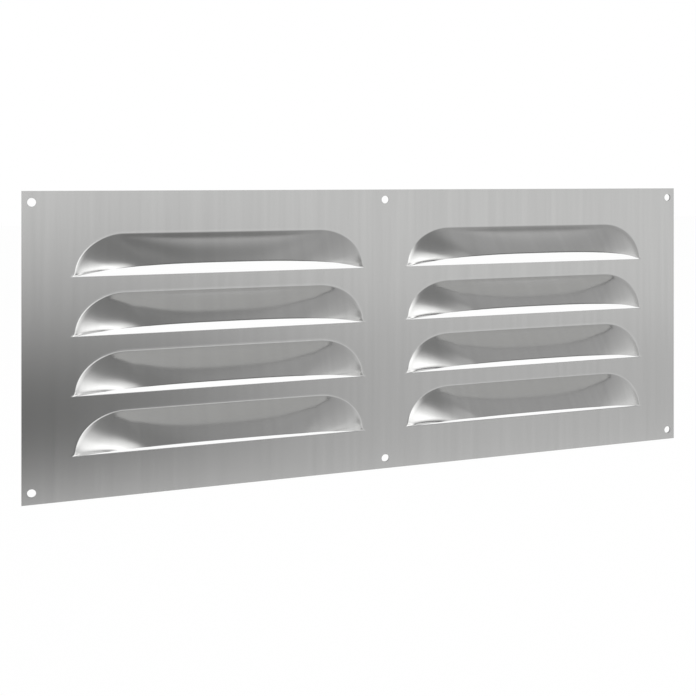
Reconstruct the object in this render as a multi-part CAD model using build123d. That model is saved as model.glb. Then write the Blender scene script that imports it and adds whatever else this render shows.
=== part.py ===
from build123d import *
from math import atan2, cos, radians, sin, tan
import os

# Louvred grille: one rectangle of thin stainless sheet with six screw holes and two columns
# of pressed louvres. The back face lies on Y = 0, the hoods stand out towards -Y, +Z is up.

# Sheet
plate_width = 368.0
plate_height = 152.0
sheet = 1.0

# Screw holes, one near each corner and one half-way along the top and bottom edges
hole_diameter = 4.2
hole_side_inset = 4.5
hole_edge_inset = 5.5

# Louvre pattern, centred on the plate
columns = 2
rows = 4
column_gap = 25.5
row_gap = 8.5

# One louvre: a flat flap folded out along the top, running into a leaning cone at each end
louvre_length = 147.0
louvre_height = 20.9
flap_angle = 47.8
bend_radius = 1.2

# The flap and its mirror image below the cut would meet in a ridge of this length
ridge_length = 65.0

# The free lip lies in one plane that climbs outwards from the cut
lip_angle = 25.2

# How far the pressing forms reach behind the sheet
form_back = 6.0

column_pitch = louvre_length + column_gap
row_pitch = louvre_height + row_gap
flap = radians(flap_angle)
ridge_height = louvre_height * tan(flap)

# Each end cone has its tip on the ridge end, touches the flap along the hip line
# and comes down to the plate at the end of the cut. Angles are from straight back.
end_fall = atan2((louvre_length - ridge_length) / 2, ridge_height)
cone_angle = atan2(cos(flap) * cos(end_fall), 1 - cos(flap) * sin(end_fall))
cone_lean = end_fall - cone_angle
hip_fall = atan2(sin(cone_lean), cos(cone_lean) - sin(cone_angle) * cos(flap))

# Sketches on the front face: x to the right, y up, extruded outwards
front = Plane(origin=(0, -sheet, 0), x_dir=(1, 0, 0), z_dir=(0, -1, 0))

def half_dome(depth):
    """Right half of the dome under the pressed front skin, sunk into the sheet by depth."""
    foot = -depth - form_back
    sink = depth / sin(cone_angle)
    tip = Vector(ridge_length / 2 + sink * sin(cone_lean), 0, ridge_height - sink * cos(cone_lean))
    spread = (tip.Z - foot) / tan(flap)
    hip = Plane(tip, x_dir=(0, 1, 0), z_dir=(cos(hip_fall), 0, sin(hip_fall)))

    gable = Polygon((0, tip.Z), (-spread, foot), (spread, foot), align=None)
    roof = extrude(Plane.YZ * gable, amount=louvre_length / 2)
    roof = split(roof, bisect_by=hip, keep=Keep.BOTTOM)

    axis = Plane(tip, x_dir=(0, 1, 0), z_dir=(-sin(cone_lean), 0, cos(cone_lean)))
    reach = louvre_length / 2
    cone = axis * Cone(reach * tan(cone_angle), 0, reach, align=(Align.CENTER, Align.CENTER, Align.MAX))
    cone = split(cone, bisect_by=hip, keep=Keep.TOP)
    cone = split(cone, bisect_by=Plane.XY.offset(foot), keep=Keep.TOP)
    return roof + cone

def pressing_form(depth):
    """Solid whose front surface is the pressed front skin, sunk into the sheet by depth."""
    half = half_dome(depth)
    dome = half + mirror(half, about=Plane.YZ)
    block = Rectangle(column_pitch, 4 * louvre_height)
    slab = extrude(Plane.XY.offset(-depth) * block, amount=-2 * form_back)
    form = slab + dome
    return fillet(new_edges(slab, dome, combined=form), bend_radius + depth)

def louvre_tile():
    """One louvre in its share of the plate, with the cut line on the local X axis."""
    pressed = front * (pressing_form(0) - pressing_form(sheet))
    lip = Plane(front.origin, x_dir=(1, 0, 0), z_dir=(0, tan(radians(lip_angle)), 1))
    hood = split(pressed, bisect_by=lip, keep=Keep.TOP)
    share = front * Pos(0, louvre_height / 2) * Rectangle(column_pitch, row_pitch)
    hood = hood & extrude(share, amount=ridge_height, both=True)
    sill = front * Pos(0, -row_gap / 4) * Rectangle(column_pitch, row_gap / 2)
    return hood + extrude(sill, amount=-sheet)

# Flat rim round the louvre field, with its screw holes
hole_x = plate_width / 2 - hole_side_inset
hole_z = plate_height / 2 - hole_edge_inset
rim = Rectangle(plate_width, plate_height)
rim -= Rectangle(columns * column_pitch, rows * row_pitch)
rim -= GridLocations(hole_x, 2 * hole_z, 3, 2) * Circle(hole_diameter / 2)
grille = extrude(front * rim, amount=-sheet)

# The louvres, each in its own share of the field
tile = louvre_tile()
for spot in GridLocations(column_pitch, row_pitch, columns, rows):
    across, up, _ = spot.position
    grille += Pos(across, 0, up - louvre_height / 2) * tile

os.makedirs("parts", exist_ok=True)
export_step(grille.clean(), "parts/louvred_plate.step")
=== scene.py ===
"""Looks of the louvred grille: one pressed sheet of brushed stainless steel in a white studio."""

import logging
import math
from dataclasses import dataclass, field
from enum import Enum

import bpy
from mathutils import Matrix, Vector


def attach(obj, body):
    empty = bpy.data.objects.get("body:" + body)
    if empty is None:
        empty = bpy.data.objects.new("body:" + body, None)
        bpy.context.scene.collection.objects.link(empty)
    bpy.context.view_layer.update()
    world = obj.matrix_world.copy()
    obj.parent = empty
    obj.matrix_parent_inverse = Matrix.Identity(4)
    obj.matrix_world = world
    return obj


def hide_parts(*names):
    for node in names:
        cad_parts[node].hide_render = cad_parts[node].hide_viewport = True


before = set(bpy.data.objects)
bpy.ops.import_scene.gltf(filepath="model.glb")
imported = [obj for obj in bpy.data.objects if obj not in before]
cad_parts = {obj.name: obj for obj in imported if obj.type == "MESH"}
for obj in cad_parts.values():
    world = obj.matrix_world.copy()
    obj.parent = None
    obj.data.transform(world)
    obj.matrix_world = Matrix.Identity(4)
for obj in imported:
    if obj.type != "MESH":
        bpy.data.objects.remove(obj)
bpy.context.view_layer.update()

logging.basicConfig(level=logging.INFO, format="%(message)s")
log = logging.getLogger("louvred_grille")

MM = 0.001


class Side(Enum):
    """The two ends of a louvre, as the sign of their x."""

    RIGHT = 1
    LEFT = -1


def linear(hex_colour: str) -> tuple[float, float, float, float]:
    """Turn an sRGB hex colour into linear red, green, blue and alpha.

    Args:
        hex_colour: Six hex digits, with or without a leading hash.

    Returns:
        The linear colour with alpha 1.
    """
    digits = hex_colour.lstrip("#")
    parts = [int(digits[i : i + 2], 16) / 255 for i in (0, 2, 4)]
    low = [c / 12.92 if c <= 0.04045 else ((c + 0.055) / 1.055) ** 2.4 for c in parts]
    return (low[0], low[1], low[2], 1.0)


def add_node(
    tree: bpy.types.NodeTree, kind: str, settings: dict | None = None, inputs: dict | None = None
) -> bpy.types.Node:
    """Add one node, set its properties, then set or link its inputs.

    Args:
        tree: The tree that gets the node.
        kind: The node's type name.
        settings: Property values by name.
        inputs: Values, output sockets or lists of output sockets, by input name or index.

    Returns:
        The new node.
    """
    node = tree.nodes.new(kind)
    for key, value in (settings or {}).items():
        setattr(node, key, value)
    for key, value in (inputs or {}).items():
        socket = node.inputs[key]
        sources = value if isinstance(value, list) else [value]
        for source in sources:
            if isinstance(source, bpy.types.NodeSocket):
                tree.links.new(source, socket)
            else:
                socket.default_value = source
    return node


@dataclass(frozen=True)
class BrushedStainless:
    """Thin stainless sheet, brushed along its height.

    It gives the eye a soft grey mirror, smeared sideways by the upright grain, with faint streaks.
    """

    roughness: float = 0.22
    smear: float = 0.6
    # Real brush lines are too fine to show, so the grain is drawn several times coarser
    grain_width: float = 0.7 * MM
    grain_length: float = 60 * MM
    grain_depth: float = 0.002 * MM
    streak_width: float = 4.5 * MM
    streak_length: float = 140 * MM
    streak_dark: str = "#C7C7C6"
    streak_pale: str = "#CCCCCB"
    streak_ends: tuple[float, float] = (0.3, 0.7)
    noise_detail: float = 3.0

    def upright_noise(
        self, tree: bpy.types.NodeTree, width: float, length: float
    ) -> bpy.types.NodeSocket:
        """Make a noise that is drawn out along the sheet's height.

        Args:
            tree: The material's tree.
            width: Size of its features across the sheet.
            length: Size of its features along the sheet's height.

        Returns:
            The noise socket, from 0 to 1.
        """
        place = add_node(tree, "ShaderNodeTexCoord")
        stretch = add_node(
            tree,
            "ShaderNodeMapping",
            inputs={
                "Vector": place.outputs["Object"],
                "Scale": (1 / width, 1 / length, 1 / length),
            },
        )
        noise = add_node(
            tree,
            "ShaderNodeTexNoise",
            inputs={
                "Vector": stretch.outputs["Vector"],
                "Scale": 1.0,
                "Detail": self.noise_detail,
            },
        )
        return noise.outputs["Fac"]

    def material(self) -> bpy.types.Material:
        """Make the material, with its grain running along the sheet's height."""
        made = bpy.data.materials.new("brushed_stainless_steel")
        made.use_nodes = True
        tree = made.node_tree
        shader = tree.nodes["Principled BSDF"]
        shader.inputs["Metallic"].default_value = 1.0
        shader.inputs["Roughness"].default_value = self.roughness
        shader.inputs["Anisotropic"].default_value = self.smear
        across = add_node(tree, "ShaderNodeCombineXYZ", inputs={"X": 1.0})
        tree.links.new(across.outputs["Vector"], shader.inputs["Tangent"])
        streaks = self.upright_noise(tree, self.streak_width, self.streak_length)
        tint = add_node(tree, "ShaderNodeValToRGB", inputs={"Fac": streaks})
        for mark, place, colour in zip(
            tint.color_ramp.elements, self.streak_ends, (self.streak_dark, self.streak_pale)
        ):
            mark.position = place
            mark.color = linear(colour)
        tree.links.new(tint.outputs["Color"], shader.inputs["Base Color"])
        grain = self.upright_noise(tree, self.grain_width, self.grain_length)
        bump = add_node(
            tree,
            "ShaderNodeBump",
            inputs={"Height": grain, "Distance": self.grain_depth, "Strength": 1.0},
        )
        tree.links.new(bump.outputs["Normal"], shader.inputs["Normal"])
        return made


@dataclass(frozen=True)
class ShearedEdge:
    """The sheet's cut edges: dull darker steel that outlines lips, holes and rim."""

    colour: str = "#929292"
    roughness: float = 0.5

    def material(self) -> bpy.types.Material:
        """Make the cut edge's material."""
        made = bpy.data.materials.new("sheared_steel_edge")
        made.use_nodes = True
        shader = made.node_tree.nodes["Principled BSDF"]
        shader.inputs["Base Color"].default_value = linear(self.colour)
        shader.inputs["Metallic"].default_value = 1.0
        shader.inputs["Roughness"].default_value = self.roughness
        return made


@dataclass(frozen=True)
class Ruling:
    """One straight line of a hood's skin, from its foot on the plate to the free lip."""

    foot: Vector
    normal: Vector
    lip: Vector


@dataclass
class Louvre:
    """One pressed hood: a flap, a leaning cone at each end, an arched lip and a bend all round.

    Its own axes are x to the right, y up from the cut and z out of the plate.
    """

    length: float = 147 * MM
    height: float = 20.9 * MM
    ridge: float = 65 * MM
    flap: float = math.radians(47.8)
    lip_climb: float = math.radians(25.2)
    lip_depth: float = 14.9 * MM
    lip_rise: float = 7.6 * MM
    depth_power: float = 3.5
    rise_power: float = 3.1
    bend_radius: float = 1.2 * MM
    flat_margin: float = 1.0 * MM
    cone_lines: int = 28
    flap_lines: int = 24
    bend_steps: int = 6
    slope_steps: int = 10
    flap_bulge: float = 0.45 * MM
    end_bulge: float = 1.0 * MM
    full_bulge_turn: float = 0.5

    def arched(self, foot: Vector, normal: Vector, lip: Vector) -> Ruling:
        """Lead a ruling to the arched lip that the pressed sheet takes.

        Args:
            foot: Where the ruling starts on the plate.
            normal: Which way the plain cone or flap faces there.
            lip: Where the plain ruling ends.

        Returns:
            The ruling, with its normal turned to suit.
        """
        share = min(1, abs(lip.x) / (self.length / 2))
        rise = self.lip_rise * (1 - share**self.rise_power)
        depth = self.lip_depth * (1 - share**self.depth_power)
        end = Vector((lip.x, rise, depth))
        along = Vector((-normal.y, normal.x, 0))
        turned = (foot - end).cross(along)
        if turned.length == 0:
            return Ruling(foot, normal, end)
        return Ruling(foot, turned.normalized(), end)

    def cone_rulings(self, side: Side) -> list[Ruling]:
        """Lay out the straight lines of one end cone, from the cut's end up to the flap.

        Args:
            side: Which end of the louvre.

        Returns:
            The rulings, the first of no length at the cut's end.
        """
        top = self.height * math.tan(self.flap)
        fall = math.atan2((self.length - self.ridge) / 2, top)
        half = math.atan2(
            math.cos(self.flap) * math.cos(fall), 1 - math.cos(self.flap) * math.sin(fall)
        )
        lean = fall - half
        tip = Vector((self.ridge / 2, 0, top))
        axis = Vector((math.sin(lean), 0, -math.cos(lean)))
        outward = Vector((math.cos(lean), 0, math.sin(lean)))
        upward = Vector((0, 1, 0))
        flap_normal = Vector((0, math.sin(self.flap), math.cos(self.flap)))
        hip = (axis + math.sin(half) * flap_normal) / math.cos(half)
        hip_turn = math.atan2(hip.dot(upward), hip.dot(outward))
        climb = math.tan(self.lip_climb)
        mirror = Vector((side.value, 1, 1))
        lines = []
        for step in range(self.cone_lines + 1):
            turn = hip_turn * step / self.cone_lines
            around = math.cos(turn) * outward + math.sin(turn) * upward
            run = math.cos(half) * axis + math.sin(half) * around
            normal = math.cos(half) * around - math.sin(half) * axis
            foot = tip - run * (top / run.z)
            lip = tip + run * (climb * top / (run.y - climb * run.z))
            lines.append(self.arched(foot * mirror, normal * mirror, lip * mirror))
        return lines

    def rulings(self) -> list[Ruling]:
        """Lay out the hood's straight lines, from its right end over the top to its left end."""
        right = self.cone_rulings(Side.RIGHT)
        left = self.cone_rulings(Side.LEFT)
        start, end = right[-1], left[-1]
        shares = [step / self.flap_lines for step in range(1, self.flap_lines)]
        middle = [
            self.arched(start.foot.lerp(end.foot, s), Vector((0, 1, 0)), start.lip.lerp(end.lip, s))
            for s in shares
        ]
        return right + middle + left[::-1]

    def column(self, line: Ruling) -> list[Vector]:
        """Place the skin's points along one ruling: flat margin, bend and slope.

        Args:
            line: The ruling.

        Returns:
            The points from the plate to the lip.
        """
        sideways = Vector((line.normal.x, line.normal.y, 0)).normalized()
        out = Vector((0, 0, 1))
        slope = math.acos(line.normal.z)
        setback = self.bend_radius * math.tan(slope / 2)
        points = [line.foot + sideways * (setback + self.flat_margin)]
        for step in range(self.bend_steps + 1):
            turn = slope * step / self.bend_steps
            inset = setback - self.bend_radius * math.sin(turn)
            rise = self.bend_radius * (1 - math.cos(turn))
            points.append(line.foot + sideways * inset + out * rise)
        if (line.lip - line.foot).length < setback:
            return points[:2] + [points[1].copy()] * (self.bend_steps + self.slope_steps)
        start = points[-1]
        reach = (line.lip - start).length
        ending = min(1, abs(line.normal.x) / self.full_bulge_turn)
        bulge = self.flap_bulge + (self.end_bulge - self.flap_bulge) * ending
        bulge *= min(1, reach / self.height)
        for step in range(1, self.slope_steps + 1):
            share = step / self.slope_steps
            # A parabola that reaches the full bulge half-way up the slope
            swell = 4 * bulge * share * (1 - share)
            points.append(start.lerp(line.lip, share) + line.normal * swell)
        return points

    def mesh(self) -> bpy.types.Mesh:
        """Make the hood's front skin, with its outline on the plate marked for the fill."""
        columns = [self.column(line) for line in self.rulings()]
        deep = len(columns[0])
        points = [point for column in columns for point in column]
        faces = []
        for across in range(len(columns) - 1):
            for down in range(deep - 1):
                corner = across * deep + down
                faces.append((corner, corner + deep, corner + deep + 1, corner + 1))
        made = bpy.data.meshes.new("hood_skin")
        made.from_pydata(points, [], faces)
        marks = made.attributes.new("outline", "BOOLEAN", "POINT")
        ends = (1, len(points) - deep + 1)
        for index, mark in enumerate(marks.data):
            mark.value = index % deep == 0 or index in ends
        return made


@dataclass
class GrillePlate:
    """The whole sheet: flat plate, six screw holes and two columns of four louvres."""

    width: float = 368 * MM
    height: float = 152 * MM
    sheet: float = 1.0 * MM
    hole_diameter: float = 4.2 * MM
    hole_side_inset: float = 4.5 * MM
    hole_edge_inset: float = 5.5 * MM
    holes_across: int = 3
    holes_up: int = 2
    hole_points: int = 48
    columns: int = 2
    rows: int = 4
    column_gap: float = 25.5 * MM
    row_gap: float = 8.5 * MM
    weld_distance: float = 0.005 * MM
    sharp_angle: float = math.radians(40)
    flat_limit: float = 0.9999
    louvre: Louvre = field(default_factory=Louvre)
    finish: BrushedStainless = field(default_factory=BrushedStainless)
    edge: ShearedEdge = field(default_factory=ShearedEdge)

    def sizes(self) -> dict[str, float]:
        """Name the node tree's size inputs and give their values."""
        return {
            "Plate width": self.width,
            "Plate height": self.height,
            "Sheet": self.sheet,
            "Hole radius": self.hole_diameter / 2,
            "Hole spread": self.width - 2 * self.hole_side_inset,
            "Hole rise": self.height - 2 * self.hole_edge_inset,
            "Louvre spread": (self.columns - 1) * (self.louvre.length + self.column_gap),
            "Louvre rise": (self.rows - 1) * (self.louvre.height + self.row_gap),
            "Cut drop": self.louvre.height / 2,
            "Weld distance": self.weld_distance,
        }

    def node_tree(self, steel: bpy.types.Material) -> bpy.types.NodeTree:
        """Build the tree that sets out the hoods and fills the plate between them.

        Args:
            steel: The sheet's material.

        Returns:
            The Geometry Nodes tree, with one input for each size.
        """
        tree = bpy.data.node_groups.new("grille_sheet", "GeometryNodeTree")
        tree.interface.new_socket("Geometry", in_out="INPUT", socket_type="NodeSocketGeometry")
        tree.interface.new_socket("Geometry", in_out="OUTPUT", socket_type="NodeSocketGeometry")
        for name in self.sizes():
            tree.interface.new_socket(name, in_out="INPUT", socket_type="NodeSocketFloat")
        given = add_node(tree, "NodeGroupInput").outputs

        spots = add_node(
            tree,
            "GeometryNodeMeshGrid",
            inputs={
                "Size X": given["Louvre spread"],
                "Size Y": given["Louvre rise"],
                "Vertices X": self.columns,
                "Vertices Y": self.rows,
            },
        )
        drop = add_node(
            tree, "ShaderNodeMath", {"operation": "MULTIPLY"}, {0: given["Cut drop"], 1: -1.0}
        )
        lower = add_node(tree, "ShaderNodeCombineXYZ", inputs={"Y": drop.outputs["Value"]})
        cuts = add_node(
            tree,
            "GeometryNodeSetPosition",
            inputs={"Geometry": spots.outputs["Mesh"], "Offset": lower.outputs["Vector"]},
        )
        placed = add_node(
            tree,
            "GeometryNodeInstanceOnPoints",
            inputs={"Points": cuts.outputs["Geometry"], "Instance": given["Geometry"]},
        )
        hoods = add_node(
            tree, "GeometryNodeRealizeInstances", inputs={"Geometry": placed.outputs["Instances"]}
        )

        marked = add_node(
            tree, "GeometryNodeInputNamedAttribute", {"data_type": "BOOLEAN"}, {"Name": "outline"}
        )
        edge = add_node(
            tree,
            "GeometryNodeMeshToCurve",
            inputs={"Mesh": hoods.outputs["Geometry"], "Selection": marked.outputs["Attribute"]},
        )
        openings = add_node(
            tree,
            "GeometryNodeSetSplineCyclic",
            inputs={"Geometry": edge.outputs["Curve"], "Cyclic": True},
        )
        rim = add_node(
            tree,
            "GeometryNodeCurvePrimitiveQuadrilateral",
            inputs={"Width": given["Plate width"], "Height": given["Plate height"]},
        )
        hole_spots = add_node(
            tree,
            "GeometryNodeMeshGrid",
            inputs={
                "Size X": given["Hole spread"],
                "Size Y": given["Hole rise"],
                "Vertices X": self.holes_across,
                "Vertices Y": self.holes_up,
            },
        )
        circle = add_node(
            tree,
            "GeometryNodeCurvePrimitiveCircle",
            inputs={"Resolution": self.hole_points, "Radius": given["Hole radius"]},
        )
        drilled = add_node(
            tree,
            "GeometryNodeInstanceOnPoints",
            inputs={"Points": hole_spots.outputs["Mesh"], "Instance": circle.outputs["Curve"]},
        )
        holes = add_node(
            tree, "GeometryNodeRealizeInstances", inputs={"Geometry": drilled.outputs["Instances"]}
        )
        outlines = add_node(
            tree,
            "GeometryNodeJoinGeometry",
            inputs={
                "Geometry": [
                    rim.outputs["Curve"],
                    holes.outputs["Geometry"],
                    openings.outputs["Geometry"],
                ]
            },
        )
        flat = add_node(
            tree,
            "GeometryNodeFillCurve",
            {"mode": "TRIANGLES"},
            {"Curve": outlines.outputs["Geometry"]},
        )
        skin = add_node(
            tree,
            "GeometryNodeJoinGeometry",
            inputs={"Geometry": [flat.outputs["Mesh"], hoods.outputs["Geometry"]]},
        )
        welded = add_node(
            tree,
            "GeometryNodeMergeByDistance",
            inputs={"Geometry": skin.outputs["Geometry"], "Distance": given["Weld distance"]},
        )
        front = add_node(
            tree, "ShaderNodeMath", {"operation": "MULTIPLY"}, {0: given["Sheet"], 1: -1.0}
        )
        ahead = add_node(tree, "ShaderNodeCombineXYZ", inputs={"Y": front.outputs["Value"]})
        upright = add_node(
            tree,
            "GeometryNodeTransform",
            inputs={
                "Geometry": welded.outputs["Geometry"],
                "Translation": ahead.outputs["Vector"],
                "Rotation": (math.pi / 2, 0, 0),
            },
        )
        real = add_node(
            tree, "GeometryNodeRealizeInstances", inputs={"Geometry": upright.outputs["Geometry"]}
        )
        dressed = add_node(
            tree,
            "GeometryNodeSetMaterial",
            inputs={"Geometry": real.outputs["Geometry"], "Material": steel},
        )
        add_node(tree, "NodeGroupOutput", inputs={"Geometry": dressed.outputs["Geometry"]})
        return tree

    def flatten(self, mesh: bpy.types.Mesh) -> None:
        """Shade the plate's fill flat, so that no bend tints its long triangles.

        Args:
            mesh: The finished sheet.
        """
        for face in mesh.polygons:
            if len(face.vertices) == 3 and abs(face.normal.y) > self.flat_limit:
                face.use_smooth = False

    def build(self) -> bpy.types.Object:
        """Make the sheet as one plain mesh and let it stand for the plate's solid."""
        steel = self.finish.material()
        tree = self.node_tree(steel)
        skin = self.louvre.mesh()
        skin.materials.append(steel)
        skin.materials.append(self.edge.material())
        draft = bpy.data.objects.new("sheet_draft", skin)
        bpy.context.scene.collection.objects.link(draft)
        nodes = draft.modifiers.new("set_out", "NODES")
        nodes.node_group = tree
        values = self.sizes()
        for item in tree.interface.items_tree:
            if item.in_out == "INPUT" and item.name in values:
                nodes[item.identifier] = values[item.name]
        # The thickness goes inwards from the front skin, and its rim takes the cut edge's finish
        wall = draft.modifiers.new("sheet_thickness", "SOLIDIFY")
        wall.thickness = self.sheet
        wall.offset = -1.0
        wall.use_even_offset = True
        wall.material_offset_rim = 1
        bpy.context.view_layer.update()
        ready = draft.evaluated_get(bpy.context.evaluated_depsgraph_get())
        mesh = bpy.data.meshes.new_from_object(ready)
        mesh.name = "grille_sheet"
        bpy.data.objects.remove(draft)
        for name in [a.name for a in mesh.attributes if a.name == "outline"]:
            mesh.attributes.remove(mesh.attributes[name])
        mesh.shade_smooth()
        mesh.set_sharp_from_angle(angle=self.sharp_angle)
        self.flatten(mesh)
        piece = bpy.data.objects.new("grille_sheet", mesh)
        bpy.context.scene.collection.objects.link(piece)
        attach(piece, "root")
        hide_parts("louvred_plate")
        return piece


@dataclass(frozen=True)
class Window:
    """A soft bright patch of the room: which way it lies, its soft edge and its strength."""

    way: tuple[float, float, float]
    soft: tuple[float, float]
    strength: float


@dataclass(frozen=True)
class StudioRoom:
    """The room that the steel mirrors.

    It has a dim ceiling, pale walls, soft bright windows and a dark patch behind the camera. Behind
    the plate it is the white that the camera sees.
    """

    # Brightness by the sine of the height above the horizon
    heights: tuple[tuple[float, float], ...] = (
        (-1.0, 0.66),
        (-0.19, 0.70),
        (-0.165, 0.86),
        (0.0, 0.90),
        (0.37, 0.62),
        (0.70, 0.50),
        (0.87, 0.48),
        (0.965, 0.53),
        (0.99, 0.37),
        (1.0, 0.32),
    )
    # How much of the dark patch shows at each height
    patch_heights: tuple[tuple[float, float], ...] = (
        (-0.36, 0.0),
        (-0.34, 1.0),
        (-0.275, 1.0),
        (-0.24, 0.85),
        (-0.21, 0.60),
        (-0.155, 0.35),
        (-0.03, 0.0),
    )
    patch_depth: float = 0.92
    patch_right: tuple[float, float] = (0.32, -0.12)
    dim_left: tuple[float, float] = (0.24, -0.10)
    dim_left_depth: float = 0.40
    dim_from_height: tuple[float, float] = (0.10, 0.35)
    windows: tuple[Window, ...] = (
        Window((-0.83, -0.54, 0.08), (0.87, 0.998), 0.85),
        Window((-0.50, -0.81, 0.28), (0.92, 0.998), 1.0),
        Window((0.15, -0.85, 0.50), (0.93, 0.985), 0.25),
    )
    behind_from: tuple[float, float] = (-0.05, 0.30)
    behind_level: float = 1.0

    def ramp(
        self,
        tree: bpy.types.NodeTree,
        height: bpy.types.NodeSocket,
        stops: tuple[tuple[float, float], ...],
    ) -> bpy.types.NodeSocket:
        """Turn the height above the horizon into a brightness.

        Args:
            tree: The world's tree.
            height: Sine of the height, from -1 to 1.
            stops: Pairs of height and brightness.

        Returns:
            The brightness socket.
        """
        share = add_node(
            tree, "ShaderNodeMapRange", inputs={"Value": height, "From Min": -1.0, "From Max": 1.0}
        )
        node = add_node(tree, "ShaderNodeValToRGB", inputs={"Fac": share.outputs["Result"]})
        marks = node.color_ramp.elements
        while len(marks) < len(stops):
            marks.new(0.5)
        for mark, (place, level) in zip(marks, sorted(stops)):
            mark.position = (place + 1) / 2
            mark.color = (level, level, level, 1)
        return node.outputs["Color"]

    def ease(
        self, tree: bpy.types.NodeTree, value: bpy.types.NodeSocket, ends: tuple[float, float]
    ) -> bpy.types.NodeSocket:
        """Rise smoothly from 0 to 1 as a value goes from the first end to the second.

        Args:
            tree: The world's tree.
            value: The value.
            ends: Where the rise starts and ends.

        Returns:
            The eased socket.
        """
        node = add_node(
            tree,
            "ShaderNodeMapRange",
            {"interpolation_type": "SMOOTHSTEP"},
            {"Value": value, "From Min": ends[0], "From Max": ends[1]},
        )
        return node.outputs["Result"]

    def dims(
        self,
        tree: bpy.types.NodeTree,
        light: bpy.types.NodeSocket,
        first: bpy.types.NodeSocket,
        second: bpy.types.NodeSocket,
        depth: float,
    ) -> bpy.types.NodeSocket:
        """Darken a brightness where two shares meet.

        Args:
            tree: The world's tree.
            light: The brightness.
            first: One share from 0 to 1.
            second: The other share.
            depth: What is taken off where both are 1.

        Returns:
            The darkened brightness.
        """
        both = add_node(tree, "ShaderNodeMath", {"operation": "MULTIPLY"}, {0: first, 1: second})
        left = add_node(
            tree,
            "ShaderNodeMath",
            {"operation": "MULTIPLY_ADD"},
            {0: both.outputs["Value"], 1: -depth, 2: 1.0},
        )
        node = add_node(
            tree, "ShaderNodeMath", {"operation": "MULTIPLY"}, {0: light, 1: left.outputs["Value"]}
        )
        return node.outputs["Value"]

    def build(self) -> bpy.types.World:
        """Make the world, white to the camera and behind the plate, and the room to the steel."""
        world = bpy.data.worlds.new("studio_room")
        world.use_nodes = True
        tree = world.node_tree
        tree.nodes.clear()
        way = add_node(tree, "ShaderNodeTexCoord").outputs["Generated"]
        parts = add_node(tree, "ShaderNodeSeparateXYZ", inputs={"Vector": way}).outputs
        light = self.ramp(tree, parts["Z"], self.heights)
        patch = self.ramp(tree, parts["Z"], self.patch_heights)
        patch_side = self.ease(tree, parts["X"], self.patch_right)
        light = self.dims(tree, light, patch, patch_side, self.patch_depth)
        high = self.ease(tree, parts["Z"], self.dim_from_height)
        left_side = self.ease(tree, parts["X"], self.dim_left)
        light = self.dims(tree, light, high, left_side, self.dim_left_depth)
        for window in self.windows:
            aim = add_node(
                tree,
                "ShaderNodeVectorMath",
                {"operation": "DOT_PRODUCT"},
                {0: way, 1: Vector(window.way).normalized()},
            )
            glow = self.ease(tree, aim.outputs["Value"], window.soft)
            added = add_node(
                tree,
                "ShaderNodeMath",
                {"operation": "MULTIPLY_ADD"},
                {0: glow, 1: window.strength, 2: light},
            )
            light = added.outputs["Value"]
        room = add_node(
            tree,
            "ShaderNodeMix",
            inputs={
                "Factor": self.ease(tree, parts["Y"], self.behind_from),
                "A": light,
                "B": self.behind_level,
            },
        )
        mirrored = add_node(tree, "ShaderNodeBackground", inputs={"Color": room.outputs["Result"]})
        white = add_node(tree, "ShaderNodeBackground", inputs={"Color": (1, 1, 1, 1)})
        path = add_node(tree, "ShaderNodeLightPath")
        shown = add_node(
            tree,
            "ShaderNodeMixShader",
            inputs={
                0: path.outputs["Is Camera Ray"],
                1: mirrored.outputs["Background"],
                2: white.outputs["Background"],
            },
        )
        add_node(tree, "ShaderNodeOutputWorld", inputs={"Surface": shown.outputs["Shader"]})
        bpy.context.scene.world = world
        return world


@dataclass(frozen=True)
class MattWhiteBoard:
    """Matt white painted board.

    It gives the eye an even white, seen straight or in the steel, with a faint shadow of the plate.
    """

    colour: str = "#EDEDED"
    roughness: float = 0.9
    even_white: float = 0.97

    def material(self) -> bpy.types.Material:
        """Make the board's paint."""
        made = bpy.data.materials.new("matt_white_board")
        made.use_nodes = True
        tree = made.node_tree
        paint = tree.nodes["Principled BSDF"]
        paint.inputs["Base Color"].default_value = linear(self.colour)
        paint.inputs["Roughness"].default_value = self.roughness
        glow = add_node(tree, "ShaderNodeEmission", inputs={"Color": (1, 1, 1, 1), "Strength": 1.0})
        path = add_node(tree, "ShaderNodeLightPath").outputs
        seen = path["Is Camera Ray"]
        for ray in ("Is Glossy Ray", "Is Transmission Ray"):
            either = add_node(
                tree, "ShaderNodeMath", {"operation": "MAXIMUM"}, {0: seen, 1: path[ray]}
            )
            seen = either.outputs["Value"]
        white = add_node(
            tree, "ShaderNodeMath", {"operation": "MULTIPLY"}, {0: seen, 1: self.even_white}
        )
        both = add_node(
            tree,
            "ShaderNodeMixShader",
            inputs={
                0: white.outputs["Value"],
                1: paint.outputs["BSDF"],
                2: glow.outputs["Emission"],
            },
        )
        tree.links.new(both.outputs["Shader"], tree.nodes["Material Output"].inputs["Surface"])
        return made


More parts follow.
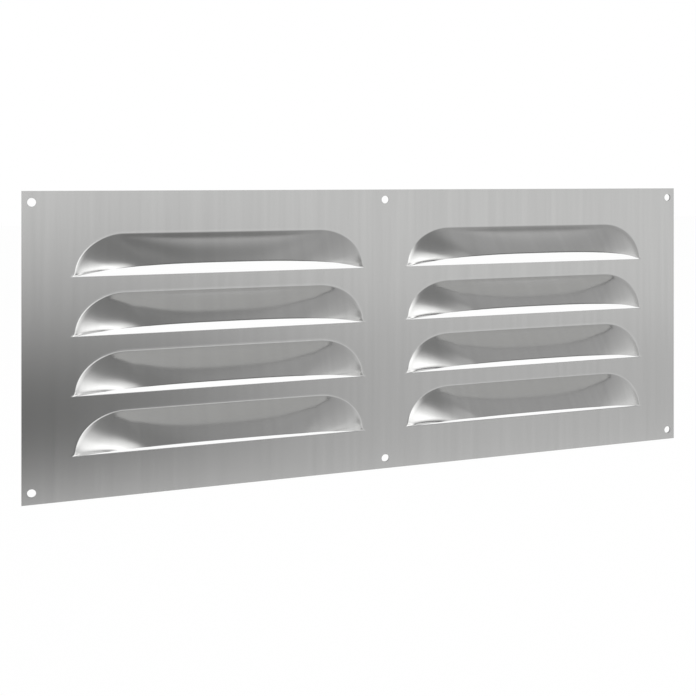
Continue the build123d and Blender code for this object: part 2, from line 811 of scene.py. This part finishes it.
@dataclass
class Studio:
    """Camera, floor, lamp and room round the grille, in metres and radians."""

    camera_place: tuple[float, float, float] = (-0.1231, -0.38766, 0.08226)
    camera_turn: float = -0.258
    lens: float = 38.43
    sensor: float = 36.0
    near: float = 0.01
    far: float = 50.0
    frame_drop: float = -0.2442
    floor_drop: float = 0.30
    floor_front: float = -0.5
    floor_back: float = 6.0
    floor_side: float = 6.0
    lamp_place: tuple[float, float, float] = (0.3, 0.7, 1.4)
    lamp_size: float = 0.9
    lamp_power: float = 14.0

    def camera(self) -> bpy.types.Object:
        """Set the camera level, turned to the right, at the top edge's height."""
        data = bpy.data.cameras.new("camera")
        data.sensor_width = self.sensor
        data.lens = self.lens
        data.shift_y = self.frame_drop
        data.clip_start = self.near
        data.clip_end = self.far
        made = bpy.data.objects.new("camera", data)
        made.location = self.camera_place
        made.rotation_euler = (math.pi / 2, 0, self.camera_turn)
        bpy.context.scene.collection.objects.link(made)
        bpy.context.scene.camera = made
        return made

    def floor(self) -> bpy.types.Object:
        """Lay the pale floor below the plate, its front edge in the steel's view."""
        level = -self.floor_drop
        corners = [
            (-self.floor_side, self.floor_front, level),
            (self.floor_side, self.floor_front, level),
            (self.floor_side, self.floor_back, level),
            (-self.floor_side, self.floor_back, level),
        ]
        mesh = bpy.data.meshes.new("floor")
        mesh.from_pydata(corners, [], [(0, 1, 2, 3)])
        mesh.materials.append(MattWhiteBoard().material())
        made = bpy.data.objects.new("floor", mesh)
        bpy.context.scene.collection.objects.link(made)
        return made

    def lamp(self) -> bpy.types.Object:
        """Hang a soft lamp above and behind the plate."""
        data = bpy.data.lights.new("soft_lamp", "AREA")
        data.size = self.lamp_size
        data.energy = self.lamp_power
        made = bpy.data.objects.new("soft_lamp", data)
        made.visible_glossy = False
        made.location = self.lamp_place
        aim = Vector((0, 0, -self.floor_drop)) - made.location
        made.rotation_euler = aim.to_track_quat("-Z", "Y").to_euler()
        bpy.context.scene.collection.objects.link(made)
        return made

    def build(self) -> None:
        """Set up the camera, floor, lamp and room."""
        self.camera()
        self.floor()
        self.lamp()
        StudioRoom().build()
        bpy.context.scene.view_settings.view_transform = "Standard"


def main() -> None:
    """Build the grille and the studio."""
    piece = GrillePlate().build()
    sheet = piece.data
    log.info("%s: %d vertices, %d faces", piece.name, len(sheet.vertices), len(sheet.polygons))
    Studio().build()
    log.info("studio: camera, floor and light")


if __name__ == "__main__":
    main()
